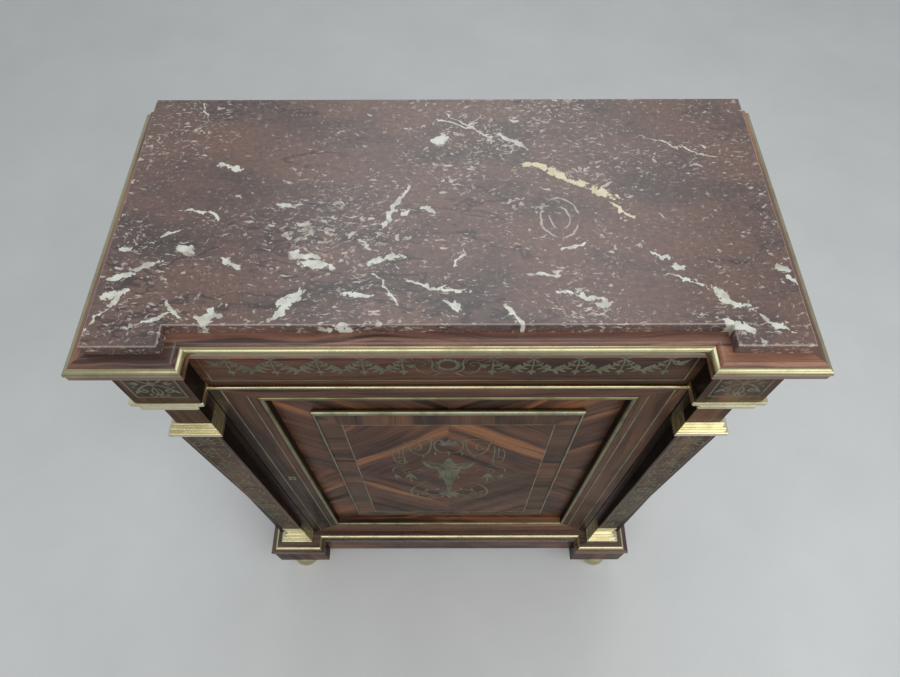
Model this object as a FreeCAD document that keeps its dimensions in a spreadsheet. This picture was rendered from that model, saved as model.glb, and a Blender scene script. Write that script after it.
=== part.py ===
import FreeCAD, Part
import math
import os
from types import SimpleNamespace

import Sketcher

# Driving dimensions in millimetres. +Z is up, the front faces -Y, and the origin is on the floor under the middle.
# An inset is measured in from the outer edge of the brass cornice, which is the widest and foremost line.
SIZES = {
    # Overall size
    "total_width": 826,
    "total_depth": 401,
    "total_height": 1100,
    # Breakfront plan: a bay at each front corner stands in front of the middle
    "bay_width": 128,
    "break_depth": 26.5,
    # Marble and cornice
    "marble_thickness": 16,
    "marble_inset": 22,
    "marble_rounding": 2.5,
    "top_board_thickness": 12,
    "top_board_inset": 6.5,
    "top_board_rounding": 6,
    "cornice_fillet_thickness": 9,
    "cornice_fillet_inset": 1,
    "cornice_brass_height": 8,
    "cornice_brass_rounding": 6,
    # Carcass
    "carcass_inset": 22.5,
    "back_recess": 4,
    "side_thickness": 18,
    "back_thickness": 10,
    "bottom_thickness": 18,
    "post_depth": 40,
    "post_width": 78.5,
    "sill_clearance": 3,
    "stop_length": 60,
    "stop_height": 14,
    "stop_depth": 18,
    "stop_gap": 0.3,
    "stop_inset": 10,
    # Frieze
    "frieze_height": 115.5,
    "frieze_thickness": 22,
    "frieze_bead_height": 5,
    "frieze_bead_depth": 5,
    "frieze_bead_end_gap": 2,
    "block_height": 101,
    # Pilasters, measured forward from the face of the corner posts
    "upper_step_height": 8.5,
    "upper_step_overhang": 5,
    "lower_step_height": 8.5,
    "lower_step_width": 74,
    "lower_step_projection": 31.5,
    "neck_width": 47,
    "neck_projection": 17,
    "neck_height": 73,
    "capital_height": 22,
    "capital_spread": 13.5,
    "shaft_top_width": 57,
    "shaft_top_projection": 24.5,
    "shaft_foot_width": 38,
    "shaft_foot_projection": 9,
    "base_height": 31,
    "base_spread": 16,
    "step_rounding": 2,
    # Plinth and feet
    "plinth_top_thickness": 10,
    "plinth_top_inset": 18,
    "plinth_top_advance": 4,
    "plinth_brass_width": 5,
    "plinth_brass_height": 8,
    "plinth_edge_thickness": 8,
    "plinth_edge_inset": 3,
    "plinth_edge_rounding": 3,
    "plinth_inset": 6,
    "plinth_board": 20,
    "plinth_block_depth": 95,
    "plinth_height": 84,
    "foot_height": 66,
    "foot_pad_radius": 16,
    "foot_ball_height": 52,
    "foot_disc_radius": 22,
    "foot_disc_height": 12,
    "foot_setback": 25,
    "foot_outset": 7,
    "rear_block_length": 60,
    # Shelves
    "shelf_thickness": 16,
    "shelf_side_clearance": 1,
    "shelf_setback": 7,
    "lower_shelf_height": 430,
    "upper_shelf_height": 680,
    "cleat_section": 18,
    # Door
    "door_gap": 2,
    "door_top_gap": 3,
    "door_bottom_gap": 3,
    "door_thickness": 24,
    "stile_width": 64,
    "top_rail_width": 40,
    "bottom_rail_width": 71,
    "panel_thickness": 10,
    "panel_rebate": 8,
    "field_side_margin": 50.5,
    "field_end_margin": 57.5,
    "field_thickness": 8,
    "field_brass_depth": 10,
    "door_bead_width": 7,
    "door_bead_proud": 1.5,
    "door_bead_sunk": 3,
    "mitre_kerf": 0.2,
    # Pivot hinges
    "pivot_inset": 9,
    "pivot_setback": 5,
    "pivot_plate_length": 36,
    "pivot_plate_width": 9,
    "pivot_socket_height": 14,
    "pivot_pin_radius": 2.5,
    "pivot_pin_length": 11,
    "pivot_bore_clearance": 0.05,
    "pivot_bore_spare": 1,
    "pivot_end_play": 0.05,
    # Lock
    "keyhole_height": 570,
    "keyhole_setback": 31,
    "keyhole_radius": 2.6,
    "keyhole_slot_width": 2.6,
    "keyhole_slot_length": 7,
    "escutcheon_width": 12,
    "escutcheon_height": 18,
    "escutcheon_thickness": 1.6,
    "escutcheon_proud": 0.6,
    "lock_width": 46,
    "lock_height": 60,
    "lock_depth": 15,
    "lock_wall": 2,
    "lock_edge_setback": 2,
    "bolt_offset": 12,
    "bolt_length": 34,
    "bolt_height": 14,
    "bolt_thickness": 7,
    "bolt_tip_setback": 0.5,
    "bolt_clearance": 0.3,
    "bolt_throw": 9,
    "keep_height": 40,
    "keep_width": 15,
    "keep_thickness": 2,
    "keep_clearance": 0.6,
    "keep_mortise_spare": 3,
    # Screws
    "screw_radius": 1.6,
    "screw_head_radius": 3,
    "screw_head_height": 1.2,
    "screw_length": 9,
    "lock_screw_length": 24,
    "screw_clearance": 0.1,
    "screw_margin": 7,
}

SIDES = (("left", -1), ("right", 1))
# Steps in each capital and base
STEP_COUNT = 3


class Formula:
    """A size that carries both its spreadsheet expression and its present value."""

    def __init__(self, text, value):
        self.text = text
        self.value = value

    def join(self, sign, other, value):
        return Formula(f"({self.text} {sign} {formula(other).text})", value)

    def __add__(self, other):
        return self.join("+", other, self.value + formula(other).value)

    def __sub__(self, other):
        return self.join("-", other, self.value - formula(other).value)

    def __mul__(self, other):
        return self.join("*", other, self.value * formula(other).value)

    def __truediv__(self, other):
        return self.join("/", other, self.value / formula(other).value)

    def __neg__(self):
        return self * -1

    def __radd__(self, other):
        return formula(other) + self

    def __rsub__(self, other):
        return formula(other) - self

    def __rmul__(self, other):
        return formula(other) * self


def formula(number):
    """Give a plain number the form of a size, and leave a size as it is."""
    if isinstance(number, Formula):
        return number
    return Formula(repr(number), number)


doc = FreeCAD.newDocument("side_cabinet")
sheet = doc.addObject("Spreadsheet::Sheet", "Sizes")
for row, (name, number) in enumerate(SIZES.items(), start=1):
    sheet.set(f"A{row}", name)
    sheet.set(f"B{row}", str(number))
    sheet.setAlias(f"B{row}", name)
doc.recompute()
s = SimpleNamespace(**{name: Formula(f"Sizes.{name}", number) for name, number in SIZES.items()})

pieces = []


def bind(thing, path, size):
    thing.setExpression(path, formula(size).text)


def keep(piece, label):
    """Name a finished sub-part and put it on the list that is exported."""
    piece.Label = label
    pieces.append(piece)
    return piece


def block(x, y, z, name="Block"):
    """A rectangular board between low and high values on each axis."""
    box = doc.addObject("Part::Box", name)
    for (low, high), length, axis in zip((x, y, z), ("Length", "Width", "Height"), "xyz"):
        bind(box, length, formula(high) - low)
        bind(box, f"Placement.Base.{axis}", low)
    return box


def board(label, x, y, z):
    return keep(block(x, y, z, label), label)


def rod(centre, radius, length, direction, name="Rod"):
    """A cylinder that starts at centre and runs along direction, a positive axis."""
    cylinder = doc.addObject("Part::Cylinder", name)
    bind(cylinder, "Radius", radius)
    bind(cylinder, "Height", length)
    cylinder.Placement.Rotation = FreeCAD.Rotation(FreeCAD.Vector(0, 0, 1), FreeCAD.Vector(*direction))
    for axis, place in zip("xyz", centre):
        bind(cylinder, f"Placement.Base.{axis}", place)
    return cylinder


def fuse(parts, name="Fused"):
    joined = doc.addObject("Part::MultiFuse", name)
    joined.Shapes = parts
    return joined


def group(label, parts):
    """One node that holds several separate solids."""
    compound = doc.addObject("Part::Compound", label)
    compound.Links = parts
    return keep(compound, label)


def cut(base, tools, name="Cut"):
    """Take the tools out of the base one after another."""
    for tool in tools:
        result = doc.addObject("Part::Cut", name)
        result.Base = base
        result.Tool = tool
        base = result
    return base


def new_body(name):
    return doc.addObject("PartDesign::Body", name)


def new_sketch(body, name, role):
    """A sketch on one of the body's own origin planes."""
    sketch = body.newObject("Sketcher::SketchObject", name)
    plane = next(feature for feature in body.Origin.OriginFeatures if feature.Role == role)
    sketch.AttachmentSupport = [(plane, "")]
    sketch.MapMode = "FlatFace"
    return sketch


def fix_point(sketch, edge, end, x, y):
    """Hold one point of an edge at bound distances from the sketch's origin."""
    for kind, size in (("DistanceX", x), ("DistanceY", y)):
        index = sketch.addConstraint(Sketcher.Constraint(kind, -1, 1, edge, end, formula(size).value))
        sketch.setExpression(f"Constraints[{index}]", formula(size).text)


def fix_centre(sketch, edge, start, end, centre):
    """Hold an arc's centre on the axis along which it can still slide."""
    rises = abs(end[1] - start[1]) >= abs(end[0] - start[0])
    kind = "DistanceX" if rises else "DistanceY"
    size = formula(centre[0 if rises else 1])
    index = sketch.addConstraint(Sketcher.Constraint(kind, -1, 1, edge, 3, size.value))
    sketch.setExpression(f"Constraints[{index}]", size.text)


def draw(sketch, steps, closed=True):
    """Draw runs through the steps: (x, y) ends a straight run, (x, y, centre x, centre y) ends an arc."""
    values = [[formula(size).value for size in step] for step in steps]
    runs = list(range(1, len(steps))) + ([0] if closed else [])
    first = last = None
    for index in runs:
        start, end = values[index - 1][:2], values[index]
        if len(end) == 2:
            line = Part.LineSegment(FreeCAD.Vector(*start, 0), FreeCAD.Vector(*end, 0))
            edge, head, tail = sketch.addGeometry(line, False), 1, 2
        else:
            centre = end[2:]
            angles = [math.atan2(p[1] - centre[1], p[0] - centre[0]) for p in (start, end)]
            turn = (angles[1] - angles[0]) % (2 * math.pi)
            head, tail = (1, 2) if turn < math.pi else (2, 1)
            circle = Part.Circle(FreeCAD.Vector(*centre, 0), FreeCAD.Vector(0, 0, 1), math.dist(start, centre))
            arc = Part.ArcOfCircle(circle, angles[head - 1], angles[tail - 1])
            edge = sketch.addGeometry(arc, False)
            fix_centre(sketch, edge, start, end, steps[index][2:])
        fix_point(sketch, edge, head, *steps[index - 1][:2])
        if last is not None:
            sketch.addConstraint(Sketcher.Constraint("Coincident", last[0], last[1], edge, head))
        first = first or (edge, head)
        last = (edge, tail)
    if closed:
        sketch.addConstraint(Sketcher.Constraint("Coincident", last[0], last[1], first[0], first[1]))
    else:
        fix_point(sketch, last[0], last[1], *steps[-1][:2])


def pad(body, steps, role, low, high):
    """Pad an outline between two levels along its plane's normal."""
    sketch = new_sketch(body, "Outline", role)
    draw(sketch, steps)
    # The normal of the XZ plane points along -Y
    if role == "XZ_Plane":
        low, high = -formula(high), -formula(low)
    bind(sketch, "AttachmentOffset.Base.z", low)
    feature = body.newObject("PartDesign::Pad", "Pad")
    feature.Profile = sketch
    bind(feature, "Length", formula(high) - low)
    return feature


def round_top(body, feature, radius):
    """Round every upper edge of a plate except the straight one along its back."""
    doc.recompute()
    box = feature.Shape.BoundBox
    near = 0.01
    edges = [
        f"Edge{number}"
        for number, edge in enumerate(feature.Shape.Edges, start=1)
        if edge.BoundBox.ZMin > box.ZMax - near and edge.BoundBox.YMin < box.YMax - near
    ]
    fillet = body.newObject("PartDesign::Fillet", "Rounding")
    fillet.Base = (feature, edges)
    bind(fillet, "Radius", radius)
    return fillet


def moulding(label, path, profile, reach, role="XY_Plane", closed=False):
    """Sweep a profile along a path with mitred corners, and saw the mitres so that each length is a solid.

    A profile step holds a distance outward from the path, to the right of its direction, and a level. On the
    XY plane the level is a height and the path starts towards -Y; on the XZ plane it is a y and the start is +X.
    """
    body = new_body(label)
    spine = new_sketch(body, "Path", role)
    draw(spine, path, closed)
    flat = role == "XY_Plane"
    start_x, start_y = path[0]

    def place(out, level):
        return (start_x - out, level) if flat else (level, start_y - out)

    section = new_sketch(body, "Profile", "XZ_Plane" if flat else "YZ_Plane")
    draw(section, [place(*step[:2]) + (place(*step[2:]) if len(step) > 2 else ()) for step in profile])
    if flat:
        bind(section, "AttachmentOffset.Base.z", -formula(start_y))
    sweep = body.newObject("PartDesign::AdditivePipe", "Sweep")
    sweep.Profile = section
    sweep.Spine = (spine, [])
    sweep.Transition = "Right corner"
    saw(body, path, reach, role, closed)
    return keep(body, label)


def heading(start, end):
    """The unit direction of a run that lies along an axis."""
    dx, dy = [formula(b).value - formula(a).value for a, b in zip(start, end)]
    length = math.hypot(dx, dy)
    return round(dx / length), round(dy / length)


def saw(body, path, reach, role, closed):
    """Cut a thin kerf through each mitre of a swept moulding."""
    sketch = new_sketch(body, "Kerfs", role)
    spare = 1
    points = list(path) + ([path[0]] if closed else [])
    corners = zip(points, points[1:], points[2:])
    for before, corner, after in corners:
        first, second = heading(before, corner), heading(corner, after)
        if first == second:
            continue
        # The mitre runs along the sum of the outward directions of both runs
        along = (first[1] + second[1], -first[0] - second[0])
        across = (-along[1], along[0])
        ends = [
            (reach[0] - spare, -s.mitre_kerf / 4),
            (reach[1] + spare, -s.mitre_kerf / 4),
            (reach[1] + spare, s.mitre_kerf / 4),
            (reach[0] - spare, s.mitre_kerf / 4),
        ]
        draw(sketch, [
            tuple(corner[axis] + along[axis] * out + across[axis] * side for axis in (0, 1))
            for out, side in ends
        ])
    pocket = body.newObject("PartDesign::Pocket", "Mitres")
    pocket.Profile = sketch
    pocket.Type = "ThroughAll"
    pocket.Midplane = True


# Levels, from the top down and from the floor up
half_width = s.total_width / 2
back = s.total_depth / 2
front = -back
carcass_back = back - s.back_recess
marble_base = s.total_height - s.marble_thickness
top_board_base = marble_base - s.top_board_thickness
carcass_top = top_board_base - s.cornice_fillet_thickness
plinth_edge_base = s.foot_height + s.plinth_height
plinth_top_base = plinth_edge_base + s.plinth_edge_thickness
carcass_base = plinth_top_base + s.plinth_top_thickness
frieze_base = carcass_top - s.frieze_height
block_base = carcass_top - s.block_height
upper_step_base = block_base - s.upper_step_height
lower_step_base = upper_step_base - s.lower_step_height
capital_top = lower_step_base - s.neck_height
capital_base = capital_top - s.capital_height
base_top = carcass_base + s.base_height

# Planes and lines of the plan
bay_axis = half_width - s.bay_width / 2
carcass_side = half_width - s.carcass_inset
side_inner = carcass_side - s.side_thickness
block_half = s.bay_width / 2 - s.carcass_inset
block_face = front + s.carcass_inset
carcass_face = block_face + s.break_depth
post_back = carcass_face + s.post_depth
post_inner = carcass_side - s.post_width
back_face = carcass_back - s.back_thickness
door_half = post_inner - s.door_gap
door_back = carcass_face + s.door_thickness
door_base = carcass_base + s.door_bottom_gap
door_top = frieze_base - s.door_top_gap


def breakfront(inset, rear, advance=0):
    """The plan's outline, from the rear left corner round the front to the rear right corner.

    An advance brings the front lines forward, and the bays' inner sides towards the middle.
    """
    outer = half_width - inset
    inner = half_width - s.bay_width + inset - advance
    bay = front + inset - advance
    middle = bay + s.break_depth
    left = [(-outer, rear), (-outer, bay), (-inner, bay), (-inner, middle)]
    return left + [(-x, y) for x, y in reversed(left)]


def plate(label, inset, rear, low, high, rounding=None, advance=0):
    """A board with the breakfront outline, rounded along its upper front and side edges where asked."""
    body = new_body(label)
    feature = pad(body, breakfront(inset, rear, advance), "XY_Plane", low, high)
    if rounding is not None:
        round_top(body, feature, rounding)
    return keep(body, label)


# Marble, top board and cornice
plate("marble_top", s.marble_inset, back, marble_base, s.total_height, s.marble_rounding)
plate("top_board", s.top_board_inset, carcass_back, top_board_base, marble_base, s.top_board_rounding)
plate("cornice_fillet", s.cornice_fillet_inset, carcass_back, carcass_top, top_board_base)
brass_top = top_board_base + s.cornice_brass_height
brass_round = s.cornice_brass_rounding
moulding(
    "cornice_brass",
    breakfront(s.top_board_inset, carcass_back),
    [
        (0, top_board_base),
        (s.top_board_inset, top_board_base),
        (s.top_board_inset, brass_top - brass_round),
        (s.top_board_inset - brass_round, brass_top, s.top_board_inset - brass_round, brass_top - brass_round),
        (0, brass_top),
    ],
    (0, s.top_board_inset),
)

# Frieze
board(
    "frieze_board",
    (-post_inner, post_inner),
    (carcass_face, carcass_face + s.frieze_thickness),
    (frieze_base, carcass_top),
)
bead_end = bay_axis - s.lower_step_width / 2 - s.frieze_bead_end_gap
board(
    "frieze_bead",
    (-bead_end, bead_end),
    (carcass_face - s.frieze_bead_depth, carcass_face),
    (frieze_base, frieze_base + s.frieze_bead_height),
)


def stepped(low, height, spread):
    """A profile of rounded steps that spreads towards its foot."""
    steps = [(0, low), (spread, low)]
    for step in range(STEP_COUNT):
        out = spread * (STEP_COUNT - step) / STEP_COUNT
        top = low + height * (step + 1) / STEP_COUNT
        centre = (out - s.step_rounding, top - s.step_rounding)
        steps.append((out, centre[1]))
        steps.append((centre[0], top) + centre)
        steps.append((spread * (STEP_COUNT - step - 1) / STEP_COUNT, top))
    return steps


def round_three_sides(half, projection):
    """The path of a moulding round a pilaster's left, front and right sides."""
    face = carcass_face - projection
    return [(-half, carcass_face), (-half, face), (half, face), (half, carcass_face)]


def shaft(label):
    """The tapered pilaster shaft, with a straight core inside the base moulding."""
    body = new_body(label)
    sections = []
    for name, half, projection, level in (
        ("Foot", s.shaft_foot_width / 2, s.shaft_foot_projection, base_top),
        ("Head", s.shaft_top_width / 2, s.shaft_top_projection, capital_base),
    ):
        sketch = new_sketch(body, name, "XY_Plane")
        draw(sketch, round_three_sides(half, projection))
        bind(sketch, "AttachmentOffset.Base.z", level)
        sections.append(sketch)
    taper = body.newObject("PartDesign::AdditiveLoft", "Taper")
    taper.Profile = sections[0]
    taper.Sections = [sections[1]]
    outline = round_three_sides(s.shaft_foot_width / 2, s.shaft_foot_projection)
    pad(body, outline, "XY_Plane", carcass_base, base_top)
    return keep(body, label)


# Bays: block, steps, neck, capital, shaft and base on each corner post
for side_name, side in SIDES:
    axis = side * bay_axis
    board(
        f"frieze_block_{side_name}",
        (axis - block_half, axis + block_half),
        (block_face, carcass_face),
        (block_base, carcass_top),
    )
    upper_half = block_half + s.upper_step_overhang
    lower_half = s.lower_step_width / 2
    group(f"block_moulding_{side_name}", [
        block(
            (axis - upper_half, axis + upper_half),
            (block_face - s.upper_step_overhang, carcass_face),
            (upper_step_base, block_base),
        ),
        block(
            (axis - lower_half, axis + lower_half),
            (carcass_face - s.lower_step_projection, carcass_face),
            (lower_step_base, upper_step_base),
        ),
    ])
    board(
        f"pilaster_neck_{side_name}",
        (axis - s.neck_width / 2, axis + s.neck_width / 2),
        (carcass_face - s.neck_projection, carcass_face),
        (capital_base, lower_step_base),
    )
    capital = moulding(
        f"capital_{side_name}",
        round_three_sides(s.neck_width / 2, s.neck_projection),
        stepped(capital_base, s.capital_height, s.capital_spread),
        (0, s.capital_spread),
    )
    base = moulding(
        f"base_moulding_{side_name}",
        round_three_sides(s.shaft_foot_width / 2, s.shaft_foot_projection),
        stepped(carcass_base, s.base_height, s.base_spread),
        (0, s.base_spread),
    )
    for piece in (capital, base, shaft(f"pilaster_shaft_{side_name}")):
        bind(piece, "Placement.Base.x", axis)


def between(side, inner, outer):
    """Low and high x of a piece between two distances from the middle, on one side."""
    return (inner, outer) if side > 0 else (-outer, -inner)


# Carcass
keep_level = s.keyhole_height + s.bolt_offset
bolt_mid = door_back + (s.lock_depth - s.lock_wall) / 2
bolt_y = (bolt_mid - s.bolt_thickness / 2, bolt_mid + s.bolt_thickness / 2)
bolt_z = (keep_level - s.bolt_height / 2, keep_level + s.bolt_height / 2)


def widened(span, clearance):
    return span[0] - clearance, span[1] + clearance


keep_y = (bolt_mid - s.keep_width / 2, bolt_mid + s.keep_width / 2)
keep_z = (keep_level - s.keep_height / 2, keep_level + s.keep_height / 2)
mortise = block(
    (-post_inner - s.bolt_throw - s.keep_mortise_spare, -post_inner),
    widened(bolt_y, s.keep_clearance),
    widened(bolt_z, s.keep_clearance),
)
keep_seat = block((-post_inner - s.keep_thickness, -post_inner), keep_y, keep_z)


def screw(start, direction, head_first, clearance=0):
    """A screw along a positive axis: its shank from start, and its head at the far end, or at the start."""
    head_at = list(start)
    along = direction.index(1)
    if not head_first:
        head_at[along] = start[along] + s.screw_length - s.screw_head_height
    shank = rod(start, s.screw_radius + clearance, s.screw_length, direction)
    head = rod(head_at, s.screw_head_radius + clearance, s.screw_head_height, direction)
    return fuse([shank, head])


keep_screws = []
keep_screw_holes = []
for up in (-1, 1):
    level = keep_level + up * (s.keep_height / 2 - s.screw_margin)
    start = (-post_inner - s.screw_length, bolt_mid, level)
    keep_screws.append(screw(start, (1, 0, 0), False))
    keep_screw_holes.append(screw(start, (1, 0, 0), False, s.screw_clearance))
keep_holes = fuse(keep_screw_holes)

for side_name, side in SIDES:
    post = block(
        between(side, post_inner, carcass_side),
        (carcass_face, post_back),
        (carcass_base, carcass_top),
    )
    if side < 0:
        post = cut(post, [mortise, keep_seat, keep_holes])
    keep(post, f"corner_post_{side_name}")
    board(
        f"side_panel_{side_name}",
        between(side, side_inner, carcass_side),
        (post_back, carcass_back),
        (carcass_base, carcass_top),
    )
board("back_panel", (-side_inner, side_inner), (back_face, carcass_back), (carcass_base, carcass_top))
bottom = new_body("bottom_board")
sill = door_back + s.sill_clearance
bottom_left = [(-side_inner, back_face), (-side_inner, post_back), (-post_inner, post_back), (-post_inner, sill)]
bottom_outline = bottom_left + [(-x, y) for x, y in reversed(bottom_left)]
pad(bottom, bottom_outline, "XY_Plane", carcass_base, carcass_base + s.bottom_thickness)
keep(bottom, "bottom_board")
stop_y = door_back + s.stop_gap
stop_x = -door_half + s.stop_inset
stop_z = carcass_base + s.bottom_thickness
board(
    "door_stop",
    (stop_x, stop_x + s.stop_length),
    (stop_y, stop_y + s.stop_depth),
    (stop_z, stop_z + s.stop_height),
)
keep(cut(block((-post_inner - s.keep_thickness, -post_inner), keep_y, keep_z), [mortise, keep_holes]), "lock_keep")
group("keep_screws", keep_screws)

# Shelves on cleats
cleats = []
shelf_front = post_back + s.shelf_setback
for name, level in (("lower", s.lower_shelf_height), ("upper", s.upper_shelf_height)):
    shelf_half = side_inner - s.shelf_side_clearance
    board(f"shelf_{name}", (-shelf_half, shelf_half), (shelf_front, back_face), (level, level + s.shelf_thickness))
    for side_name, side in SIDES:
        cleats.append(block(
            between(side, side_inner - s.cleat_section, side_inner),
            (shelf_front, back_face),
            (level - s.cleat_section, level),
        ))
group("shelf_cleats", cleats)

# Plinth
plate(
    "plinth_top",
    s.plinth_top_inset,
    carcass_back,
    plinth_top_base,
    carcass_base,
    advance=s.plinth_top_advance,
)
plate("plinth_edge", s.plinth_edge_inset, carcass_back, plinth_edge_base, plinth_top_base, s.plinth_edge_rounding)
strip_top = plinth_top_base + s.plinth_brass_height
strip_round = s.plinth_brass_width
moulding(
    "plinth_brass",
    breakfront(s.plinth_top_inset, carcass_back, s.plinth_top_advance),
    [
        (0, plinth_top_base),
        (s.plinth_brass_width, plinth_top_base),
        (s.plinth_brass_width, strip_top - strip_round),
        (0, strip_top, 0, strip_top - strip_round),
    ],
    (0, s.plinth_brass_width),
)
plinth_z = (s.foot_height, plinth_edge_base)
plinth_face = front + s.plinth_inset
plinth_outer = half_width - s.plinth_inset
plinth_inner = half_width - s.bay_width + s.plinth_inset
block_rear = plinth_face + s.plinth_block_depth
plinth_rear = carcass_back - s.plinth_board
middle_face = plinth_face + s.break_depth
board("plinth_front", (-plinth_inner, plinth_inner), (middle_face, middle_face + s.plinth_board), plinth_z)
board("plinth_back", (-plinth_outer, plinth_outer), (plinth_rear, carcass_back), plinth_z)
rear_blocks = []
side_board_inner = plinth_outer - s.plinth_board
for side_name, side in SIDES:
    board(f"plinth_block_{side_name}", between(side, plinth_inner, plinth_outer), (plinth_face, block_rear), plinth_z)
    board(
        f"plinth_side_{side_name}",
        between(side, side_board_inner, plinth_outer),
        (block_rear, plinth_rear),
        plinth_z,
    )
    rear_blocks.append(block(
        between(side, bay_axis - s.rear_block_length / 2, side_board_inner),
        (plinth_rear - s.rear_block_length, plinth_rear),
        plinth_z,
    ))
group("rear_foot_blocks", rear_blocks)


def foot(label, x, y):
    """A turned foot: a ball with a flat pad, a short neck and a disc under the plinth."""
    body = new_body(label)
    sketch = new_sketch(body, "Outline", "XZ_Plane")
    pad_radius, ball = s.foot_pad_radius, s.foot_ball_height
    disc_base = s.foot_height - s.foot_disc_height
    draw(sketch, [
        (0, 0),
        (pad_radius, 0),
        (pad_radius, ball, 0, ball / 2),
        (pad_radius, disc_base),
        (s.foot_disc_radius, disc_base),
        (s.foot_disc_radius, s.foot_height),
        (0, s.foot_height),
    ])
    turning = body.newObject("PartDesign::Revolution", "Turning")
    turning.Profile = sketch
    turning.ReferenceAxis = (sketch, ["V_Axis"])
    turning.Angle = 360
    bind(body, "Placement.Base.x", x)
    bind(body, "Placement.Base.y", y)
    return keep(body, label)


for side_name, side in SIDES:
    foot(f"front_foot_{side_name}", side * (bay_axis + s.foot_outset), plinth_face + s.foot_setback)
    foot(f"rear_foot_{side_name}", side * bay_axis, plinth_rear - s.rear_block_length / 2)

# Door frame: mitred stiles and rails with a rebate for the panel
opening_half = door_half - s.stile_width
opening_base = door_base + s.bottom_rail_width
opening_top = door_top - s.top_rail_width
rebate = block(
    (-opening_half - s.panel_rebate, opening_half + s.panel_rebate),
    (door_back - s.panel_thickness, door_back),
    (opening_base - s.panel_rebate, opening_top + s.panel_rebate),
)
panel_face = door_back - s.panel_thickness
bead_front = carcass_face - s.door_bead_proud
bead_back = carcass_face + s.door_bead_sunk
bead_seat = block(
    (-opening_half - s.door_bead_width, opening_half + s.door_bead_width),
    (carcass_face, bead_back),
    (opening_base - s.door_bead_width, opening_top + s.door_bead_width),
)
keyhole_x = -door_half + s.keyhole_setback
slot_half = s.keyhole_slot_width / 2
keyhole_start = carcass_face - s.escutcheon_proud
keyhole_depth = s.door_thickness + s.escutcheon_proud
keyhole = fuse([
    rod((keyhole_x, keyhole_start, s.keyhole_height), s.keyhole_radius, keyhole_depth, (0, 1, 0)),
    block(
        (keyhole_x - slot_half, keyhole_x + slot_half),
        (keyhole_start, door_back),
        (s.keyhole_height - s.keyhole_slot_length, s.keyhole_height),
    ),
])
escutcheon_x = (keyhole_x - s.escutcheon_width / 2, keyhole_x + s.escutcheon_width / 2)
escutcheon_y = (keyhole_start, keyhole_start + s.escutcheon_thickness)
escutcheon_z = (s.keyhole_height - s.escutcheon_height / 2, s.keyhole_height + s.escutcheon_height / 2)
escutcheon_seat = block(escutcheon_x, escutcheon_y, escutcheon_z)
keep(cut(block(escutcheon_x, escutcheon_y, escutcheon_z), [keyhole]), "escutcheon")

# Pivot hinges at the right edge: a plate with a pin on the carcass, a bored socket let into the door
pivot_x = door_half - s.pivot_inset
pivot_y = carcass_face + s.pivot_setback
socket_x = (door_half - s.pivot_plate_length, door_half)
socket_y = (pivot_y - s.pivot_plate_width / 2, pivot_y + s.pivot_plate_width / 2)


def pivot(name, edge, inward, carcass_edge):
    """One hinge: its plate and pin on the carcass, its socket in the door. It gives the socket's seat."""

    def span(start, length):
        ends = (start, start + inward * length)
        return ends if inward > 0 else ends[::-1]

    thickness = inward * (edge - carcass_edge) - s.pivot_end_play
    reach = thickness + s.pivot_end_play + s.pivot_pin_length
    pin_z = span(carcass_edge, reach)
    pin = rod((pivot_x, pivot_y, pin_z[0]), s.pivot_pin_radius, reach, (0, 0, 1))
    plate_block = block(socket_x, socket_y, span(carcass_edge, thickness))
    keep(fuse([plate_block, pin]), f"{name}_pivot_plate")
    bore_length = s.pivot_pin_length + s.pivot_bore_spare
    bore_z = span(edge, bore_length)
    bore_radius = s.pivot_pin_radius + s.pivot_bore_clearance
    bore = rod((pivot_x, pivot_y, bore_z[0]), bore_radius, bore_length, (0, 0, 1))
    socket_z = span(edge, s.pivot_socket_height)
    keep(cut(block(socket_x, socket_y, socket_z), [bore]), f"{name}_pivot_socket")
    return block(socket_x, socket_y, socket_z)


lower_seat = pivot("lower", door_base, 1, carcass_base)
upper_seat = pivot("upper", door_top, -1, frieze_base)

# Lock on the back of the left stile, with a bolt that slides out of the door's edge
lock_outer = -door_half + s.lock_edge_setback
lock_x = (lock_outer, lock_outer + s.lock_width)
lock_y = (door_back, door_back + s.lock_depth)
lock_z = (keep_level - s.lock_height / 2, keep_level + s.lock_height / 2)
lock_cavity = block(
    widened(lock_x, -s.lock_wall),
    (door_back, lock_y[1] - s.lock_wall),
    widened(lock_z, -s.lock_wall),
)
bolt_slot = block(
    (lock_outer, lock_outer + s.lock_wall),
    widened(bolt_y, s.bolt_clearance),
    widened(bolt_z, s.bolt_clearance),
)
lock_screws = []
lock_screw_holes = []
for up in (-1, 1):
    start = (
        lock_x[1] - s.screw_margin,
        lock_y[1] + s.screw_head_height - s.lock_screw_length,
        keep_level + up * (s.lock_height / 2 - s.screw_margin),
    )
    for clearance, screws in ((0, lock_screws), (s.screw_clearance, lock_screw_holes)):
        shank = rod(start, s.screw_radius + clearance, s.lock_screw_length, (0, 1, 0))
        head_at = (start[0], lock_y[1], start[2])
        head = rod(head_at, s.screw_head_radius + clearance, s.screw_head_height, (0, 1, 0))
        screws.append(fuse([shank, head]))
lock_holes = fuse(lock_screw_holes)
keep(cut(block(lock_x, lock_y, lock_z), [lock_cavity, bolt_slot, lock_holes]), "lock_case")
group("lock_screws", lock_screws)
bolt_tip = -door_half + s.bolt_tip_setback
board("lock_bolt", (bolt_tip, bolt_tip + s.bolt_length), bolt_y, bolt_z)


def frame_piece(label, outline, cuts):
    """One mitred length of the door frame."""
    blank = new_body("Blank")
    pad(blank, outline, "XZ_Plane", carcass_face, door_back)
    return keep(cut(blank, cuts), label)


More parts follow.
